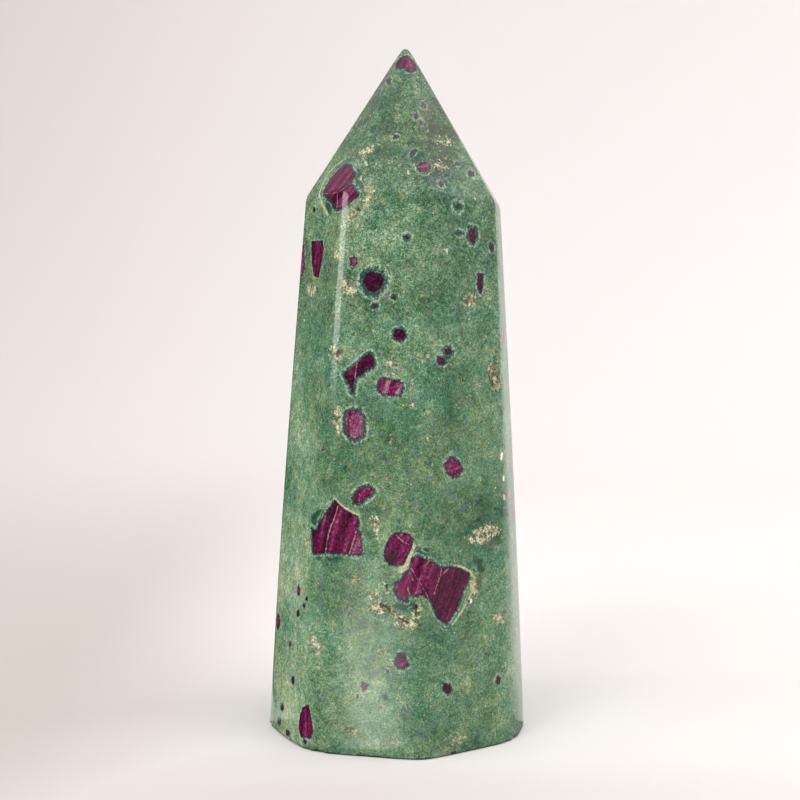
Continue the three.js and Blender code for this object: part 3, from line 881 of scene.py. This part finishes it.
class Shader:
    """Adds nodes to a material or world in short calls. A value is a number or a socket."""

    def __init__(self, owner):
        owner.use_nodes = True
        self.tree = owner.node_tree
        self.tree.nodes.clear()

    def node(self, kind, *inputs, **settings):
        node = self.tree.nodes.new("ShaderNode" + kind)
        for name, value in settings.items():
            setattr(node, name, value)
        for socket, value in zip(node.inputs, inputs):
            self.set(socket, value)
        return node

    def set(self, socket, value):
        if isinstance(value, bpy.types.NodeSocket):
            self.tree.links.new(value, socket)
        else:
            socket.default_value = value

    def math(self, operation, *values):
        return self.node("Math", *values, operation=operation).outputs[0]

    def total(self, *values):
        """The sum of several values."""
        return reduce(lambda a, b: self.math("ADD", a, b), values)

    def times(self, a, b):
        return self.math("MULTIPLY", a, b)

    def apart(self, a, b):
        """How far two values are apart."""
        return self.math("ABSOLUTE", self.math("SUBTRACT", a, b))

    def about(self, value, amount):
        """A value that lies about 0.5, moved to lie about 0 and multiplied."""
        return self.math("MULTIPLY_ADD", value, amount, -amount / 2)

    def ramp(self, value, low, high, to_low=0.0, to_high=1.0, kind="SMOOTHSTEP"):
        """Maps low..high on to to_low..to_high, held at both ends."""
        return self.node("MapRange", value, low, high, to_low, to_high,
                         interpolation_type=kind).outputs[0]

    def vector(self, operation, a, b, output="Vector"):
        return self.node("VectorMath", a, b, operation=operation).outputs[output]

    def axes(self, vector):
        return self.node("SeparateXYZ", vector).outputs

    def channel(self, shade, number):
        return self.node("SeparateColor", shade).outputs[number]

    def mix(self, amount, a, b):
        """Colour a, or b where the amount is 1."""
        node = self.node("Mix", data_type="RGBA")
        for number, value in ((0, amount), (6, a), (7, b)):
            self.set(node.inputs[number], value)
        return node.outputs[2]

    def gradient(self, value, *stops):
        """A colour ramp through (place, red, green, blue) stops, in colours from 0 to 255."""
        node = self.node("ValToRGB", value)
        elements = node.color_ramp.elements
        while len(elements) < len(stops):
            elements.new(0.5)
        for element, (position, *shade) in zip(elements, stops):
            element.position = position
            element.color = colour(*shade)
        return node.outputs[0]

    def coordinates(self, name="Object"):
        return self.node("TexCoord").outputs[name]

    def field(self, name, output="Fac"):
        return self.node("Attribute", attribute_name=name).outputs[output]

    def noise(self, place, scale, detail=2.0, seed=0.0, roughness=0.5):
        """Smooth noise about 0.5, its scale in cycles for each unit of the place."""
        node = self.node("TexNoise", noise_dimensions="4D")
        for name, value in (("Vector", place), ("W", seed), ("Scale", scale),
                            ("Detail", detail), ("Roughness", roughness)):
            self.set(node.inputs[name], value)
        return node.outputs[0]

    def grains(self, place, scale):
        """Cells with a random colour each."""
        node = self.node("TexVoronoi")
        self.set(node.inputs["Vector"], place)
        self.set(node.inputs["Scale"], scale)
        return node.outputs["Color"]

    def finish(self, surface, kind="Material"):
        self.node("Output" + kind, surface.outputs[0])


class StoneShader(Shader):
    """What the stone's markings share: their places, noises and the mesh's fields."""

    def __init__(self, material):
        super().__init__(material)
        self.place = self.vector("MULTIPLY", self.coordinates(), (1000, 1000, 1000))
        self.height = self.axes(self.place)[2]
        self.flakes = self.grains(self.place, 3.1)
        self.fine = self.grains(self.place, 6.5)
        self.crumble = self.spread(2.6, 4, 4, 0.8)
        self.spots = self.spread(2.6, 3, 7, 0.7)
        self.pit, self.vein = self.field("pit"), self.field("vein")
        # Ragged: the distance to a ruby's edge, and how strong the seams are.
        self.edge = self.total(self.field("ruby"), self.sway(1.0, 3.2, 3, 6, 0.7))
        self.seam = self.total(self.field("seam"), self.sway(1.8, 0.9, 3, 13, 0.6))
        self.pale = self.ramp(self.total(self.seam, self.about(self.crumble, 3.2)),
                              0.38, 0.62, 0, 0.88)
        self.cream = self.gradient(
            self.spread(2.3, 4, 5, 0.8), (0.40, 30, 28, 18), (0.45, 92, 88, 58),
            (0.50, 166, 164, 122), (0.55, 214, 210, 174), (0.63, 244, 240, 220))
        self.tone, self.rim, self.halo = self.axes(self.field("ruby_looks", "Vector"))

    def spread(self, scale, detail, seed, roughness=0.5):
        """Noise through the stone about 0.5, its scale in cycles a millimetre."""
        return self.noise(self.place, scale, detail, seed, roughness)

    def sway(self, amount, *settings):
        """The same noise laid about 0."""
        return self.about(self.spread(*settings), amount)


# Each of these lays one kind of marking over the shade so far; s is a StoneShader.


def rock(s):
    """Clouds with some painted sheen, mottling and mica flakes, between a cool and a warm green."""
    grainy = s.total(s.about(s.channel(s.flakes, 0), 0.2), s.about(s.channel(s.fine, 1), 0.54),
                     s.sway(1.35, 0.55, 6, 1, 0.7))
    lively = s.ramp(s.height, 45, 90, 0.8, 1.1)
    # The cloud field is partly the rock's tone and partly painted sheen, paler low on the left and front.
    tone = s.total(s.times(grainy, lively), s.sway(0.9, 0.07, 4, 2, 0.55),
                   s.times(s.field("cloud"), 0.17), 0.45)
    cool = s.gradient(tone, (0.0, 20, 60, 44), (0.28, 49, 99, 74), (0.48, 76, 127, 98),
                      (0.64, 101, 147, 115), (0.80, 136, 171, 140), (1.0, 188, 205, 178))
    warm = s.gradient(tone, (0.0, 50, 66, 38), (0.28, 86, 106, 68), (0.48, 114, 136, 92),
                      (0.64, 136, 154, 110), (0.80, 166, 176, 132), (1.0, 212, 210, 168))
    hue = s.total(s.sway(1.9, 0.16, 3, 3), s.sway(1.8, 0.9, 4, 12, 0.7),
                  s.about(s.channel(s.flakes, 2), 0.5), s.about(s.channel(s.fine, 2), 0.6), 0.36)
    return s.mix(s.ramp(hue, 0.0, 1.0, kind="LINEAR"), cool, warm)


def scattered_grains(s, shade):
    """Grey violet, brown, dark mica, pale and purple grains."""
    for scale, seed, low, high, *grain in ((0.9, 21, 0.56, 0.68, 102, 104, 118),
                                           (1.7, 22, 0.68, 0.75, 112, 78, 50),
                                           (1.4, 23, 0.64, 0.74, 26, 62, 48),
                                           (2.4, 24, 0.68, 0.75, 196, 204, 172),
                                           (1.1, 25, 0.70, 0.74, 84, 46, 82)):
        amount = s.ramp(s.spread(scale, 3, seed, 0.6), low, high, 0, 0.6)
        shade = s.mix(amount, shade, colour(*grain))
    return shade


def seams(s, shade):
    """Crumbly cream with dark voids, and dark green patches."""
    shade = s.mix(s.pale, shade, s.cream)
    return s.mix(s.ramp(s.seam, -0.3, -0.8, 0, 0.85), shade, colour(20, 66, 52))


def ruby_rims(s, shade):
    """The rubies' pale rings, white flecks and dark green skins."""
    near = s.ramp(s.math("DIVIDE", s.edge, s.halo), 1.0, 0.1, 0, 0.45)
    shade = s.mix(near, shade, colour(58, 112, 84))
    ring = s.times(s.ramp(s.apart(s.edge, s.halo), 0.22, 0.04),
                   s.ramp(s.spread(0.9, 3, 8), 0.48, 0.62, 0, 0.55))
    shade = s.mix(ring, shade, colour(170, 190, 150))
    shell = s.math("DIVIDE", s.edge, s.rim)
    white = s.times(s.ramp(s.apart(shell, 1.2), 0.7, 0.1), s.ramp(s.spots, 0.46, 0.58, 0, 0.75))
    shade = s.mix(white, shade, colour(190, 208, 196))
    skin = s.times(s.ramp(shell, 1.4, 0.6), s.ramp(s.spots, 0.58, 0.44, 0.2, 0.9))
    return s.mix(skin, shade, colour(18, 58, 54))


def rubies(s, shade):
    """Growth lines, granular spots, a dark border and healed cracks."""
    grain = s.field("ruby_grain", "Vector")
    lines = s.noise(s.vector("MULTIPLY", grain, (0.35, 2.6, 1.0)), 1.0, 4, roughness=0.6)
    bands = s.noise(s.vector("MULTIPLY", grain, (0.1, 0.9, 1.0)), 1.0, 1)
    tone = s.total(s.about(lines, 1.4), s.about(bands, 1.5), s.sway(1.2, 2.6, 4, 14),
                   s.about(s.channel(s.fine, 0), 0.24), s.tone, -0.06)
    red = s.gradient(tone, (0.0, 50, 2, 32), (0.22, 82, 6, 50), (0.42, 112, 12, 70),
                     (0.60, 122, 40, 84), (0.8, 134, 90, 111), (1.0, 170, 136, 150))
    red = s.mix(s.ramp(s.edge, -0.4, -0.02, 0, 0.8), red, colour(34, 14, 38))
    crack = s.total(s.field("crack"), s.about(s.spots, 0.7))
    red = s.mix(s.ramp(crack, 0.28, 0.10, 0, 0.5), red, colour(52, 8, 34))
    red = s.mix(s.ramp(crack, 0.09, 0.03, 0, 0.75), red, colour(180, 140, 138))
    return s.mix(s.ramp(s.edge, 0.04, -0.04), shade, red)


def veins(s, shade):
    """Cream and dark veins, and painted white highlights where a vein is strongest: the arris glints."""
    course = s.total(s.vein, s.about(s.crumble, 2.2))
    filling = s.mix(0.5, s.cream, colour(214, 212, 160))
    shade = s.mix(s.ramp(course, 0.4, 0.8, 0, 0.85), shade, filling)
    shade = s.mix(s.ramp(course, -0.4, -0.8, 0, 0.9), shade, colour(30, 30, 20))
    # Painted highlight: white where the vein field runs over 1.3, for the glints on the right arris.
    return s.mix(s.ramp(s.vein, 1.3, 1.6), shade, colour(250, 250, 246))


def foot_shadow_and_pits(s, shade):
    """A painted contact shadow along the foot's edge, and dull ochre in the open pits."""
    # Painted shadow: the lowest rim of the foot is darkened as if it lay in its contact shadow on the
    # paper.
    painted_foot_shadow = s.ramp(s.height, FOOT_SHADOW_HEIGHT, 0.4 * FOOT_SHADOW_HEIGHT, 0, 0.7)
    shade = s.mix(painted_foot_shadow, shade, colour(16, 36, 38))
    hollow = s.times(s.pit, s.ramp(s.spread(1.6, 3, 11), 0.35, 0.6, 0.4, 1))
    return s.mix(s.times(hollow, 0.5), shade, colour(104, 98, 66))


def polish(s, shade):
    """The polished surface, duller and rougher in the seams and pits."""
    rough = s.math("MULTIPLY_ADD", s.channel(s.flakes, 2), 0.05, 0.1)
    rough = s.total(rough, s.times(s.pale, 0.25), s.times(s.pit, 0.4))
    bump = s.node("Bump")
    bump.inputs["Strength"].default_value = 0.25
    bump.inputs["Distance"].default_value = 0.00004
    raised = s.total(s.times(s.pale, s.crumble), s.channel(s.flakes, 1))
    s.set(bump.inputs["Height"], raised)
    surface = s.node("BsdfPrincipled")
    s.set(surface.inputs["Base Color"], shade)
    s.set(surface.inputs["Roughness"], rough)
    s.set(surface.inputs["Normal"], bump.outputs[0])
    surface.inputs["IOR"].default_value = 1.62
    return surface


def stone_material():
    """Green mica rock with rubies in dark skins, pale seams and open pits."""
    material = bpy.data.materials.new("ruby_in_fuchsite")
    s = StoneShader(material)
    shade = rock(s)
    for mark in (scattered_grains, seams, ruby_rims, rubies, veins, foot_shadow_and_pits):
        shade = mark(s, shade)
    s.finish(polish(s, shade))
    return material


def paper_material():
    """Warm white paper with painted light and shade: brighter towards the right, darker beside and before
    the stone.
    """
    material = bpy.data.materials.new("paper")
    s = Shader(material)
    x, y, _ = s.axes(s.coordinates())
    # Painted light: the paper is made brighter towards the right.
    shade = s.mix(s.ramp(x, -0.3, 0.02), (0.73, 0.685, 0.65, 1), (0.855, 0.835, 0.83, 1))
    # Painted shadows: the paper is darker to the left of the stone and in front of its foot.
    beside = s.times(s.ramp(x, -0.01, -0.07), s.ramp(y, 0.4, 0.05))
    before = s.times(s.ramp(y, 0.0, -0.04), s.ramp(x, -0.02, 0.1, 0.65, 0.15))
    shade = s.mix(s.math("MAXIMUM", beside, before), shade, (0.605, 0.56, 0.53, 1))
    s.finish(s.node("BsdfDiffuse", shade))
    return material


def glint_material(start, ahead, side):
    """Light that falls off from the reflector's middle line outwards, and away from its start."""
    material = bpy.data.materials.new("glint_card")
    s = Shader(material)
    place = s.vector("SUBTRACT", s.coordinates(), start)
    along = s.vector("DOT_PRODUCT", place, ahead, "Value")
    across = s.vector("DOT_PRODUCT", place, side, "Value")
    width = s.math("MULTIPLY_ADD", along, 0.03, 0.003)
    off = s.math("DIVIDE", s.math("ABSOLUTE", across), width)
    strength = s.times(s.ramp(off, 2.2, 0.0, GLINT_HAZE, GLINT), s.ramp(along, 0.8, 0.08))
    s.finish(s.node("Emission", (1.0, 0.98, 0.96, 1), strength))
    return material


# ---- floor, backdrop, light and camera --------------------------------------------------------


def add_object(name, data):
    thing = bpy.data.objects.new(name, data)
    bpy.context.scene.collection.objects.link(thing)
    return thing


def add_stage(name, points, faces, material):
    """A mesh sheet with the given material, placed in the scene."""
    mesh = bpy.data.meshes.new(name)
    mesh.from_pydata(points, [], faces)
    mesh.shade_smooth()
    mesh.materials.append(material)
    piece = add_object(name, mesh)
    return piece


def sweep(name, left, right, front, paper, lift=0.0):
    """Pale paper that runs under the stone and curves up into a wall behind it."""
    profile = [(front, 0.0)]
    for k in range(PAPER_STEPS + 1):
        angle = math.pi / 2 * k / PAPER_STEPS
        profile.append((PAPER_BEND * (1 + math.sin(angle)), PAPER_BEND * (1 - math.cos(angle))))
    profile.append((2 * PAPER_BEND, PAPER_TOP))
    points = [(x, y - lift, z + lift) for y, z in profile for x in (left, right)]
    faces = [(2 * k, 2 * k + 1, 2 * k + 3, 2 * k + 2) for k in range(len(profile) - 1)]
    return add_stage(name, points, faces, paper)


def softbox(name, place, aim, width, height, radiance):
    """A rectangular light of even radiance that the camera itself doesn't see."""
    light = bpy.data.lights.new(name, "AREA")
    light.shape = "RECTANGLE"
    light.size = width
    light.size_y = height
    light.energy = radiance * math.pi * width * height
    lamp = add_object(name, light)
    lamp.location = place
    lamp.rotation_euler = (Vector(aim) - Vector(place)).to_track_quat("-Z", "Y").to_euler()
    lamp.visible_camera = False
    return lamp


def gridded(name, place, radiance):
    """A small softbox whose light a grid keeps to the stone."""
    lamp = softbox(name, place, (0, 0, 0.05), 0.3, 0.3, radiance)
    lamp.data.spread = math.radians(50)
    return lamp


def room():
    """The light of the room: dim at eye level, brighter overhead and to the right."""
    world = bpy.data.worlds.new("room")
    s = Shader(world)
    x, _, z = s.axes(s.coordinates("Generated"))
    strength = s.total(s.ramp(x, -0.4, 0.9, ROOM_LEFT, ROOM_RIGHT, "LINEAR"),
                       s.ramp(z, 0.25, 0.6, 0, ROOM_OVERHEAD))
    s.finish(s.node("Background", (1.0, 0.97, 0.94, 1), strength), "World")
    bpy.context.scene.world = world


def glint_card():
    """A long narrow reflector that lies on the floor and points at the stone's front."""
    start = Vector((-0.0044, -0.0195, 0.0005))
    turn = math.radians(GLINT_BEARING)
    ahead = Vector((math.sin(turn), -math.cos(turn), 0))
    side = Vector((math.cos(turn), math.sin(turn), 0))
    corners = [start + ahead * along + side * across
               for along, across in ((0.004, -0.014), (0.004, 0.014), (0.9, 0.12), (0.9, -0.12))]
    card = add_stage("glint_card", corners, [(0, 1, 2, 3)], glint_material(start, ahead, side))
    card.visible_camera = card.visible_diffuse = card.visible_shadow = False


def add_camera():
    """The camera that sees the stone as the front view shows it."""
    camera = bpy.data.cameras.new("camera")
    camera.lens = FOCAL_LENGTH / PICTURE_SIDE * SENSOR
    camera.sensor_width = SENSOR
    camera.clip_start = 0.01
    eye = add_object("camera", camera)
    eye.location = EYE * MM
    eye.rotation_euler = (math.radians(90 - LOOKS_DOWN), 0, 0)
    bpy.context.scene.camera = eye
    bpy.context.scene.view_settings.view_transform = "Standard"


# ---- the scene --------------------------------------------------------------------------------

mesh = polished_mesh()
mesh.materials.append(stone_material())
body = add_object("polished_point", mesh)
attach(body, "root")
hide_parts(STONE)

# The camera and the soft light see wide paper; reflections see the narrower sheet of a studio.
paper = paper_material()
wide = sweep("backdrop", -10.0, 10.0, -20.0, paper)
wide.visible_glossy = False
narrow = sweep("sheet", -0.03, 0.9, 0.0, paper, lift=0.0003)
narrow.visible_camera = narrow.visible_diffuse = narrow.visible_shadow = False
room()
softbox("key", (0.61, -0.35, 0.84), (0, 0, 0.04), 0.7, 0.7, 1.6)
softbox("left", (-0.80, -0.42, 0.29), (0, 0, 0.06), 0.80, 0.29, 5.0)
for lamp in (softbox("backlight", (1.0, 0.2, 0.4), (0.15, 0.6, 0.12), 0.4, 0.5, 4.6),
             gridded("front_left", (-0.33, -0.57, 0.60), 0.50),
             gridded("low_left", (-0.69, -0.12, 0.15), 0.26)):
    lamp.visible_glossy = False
glint_card()
add_camera()
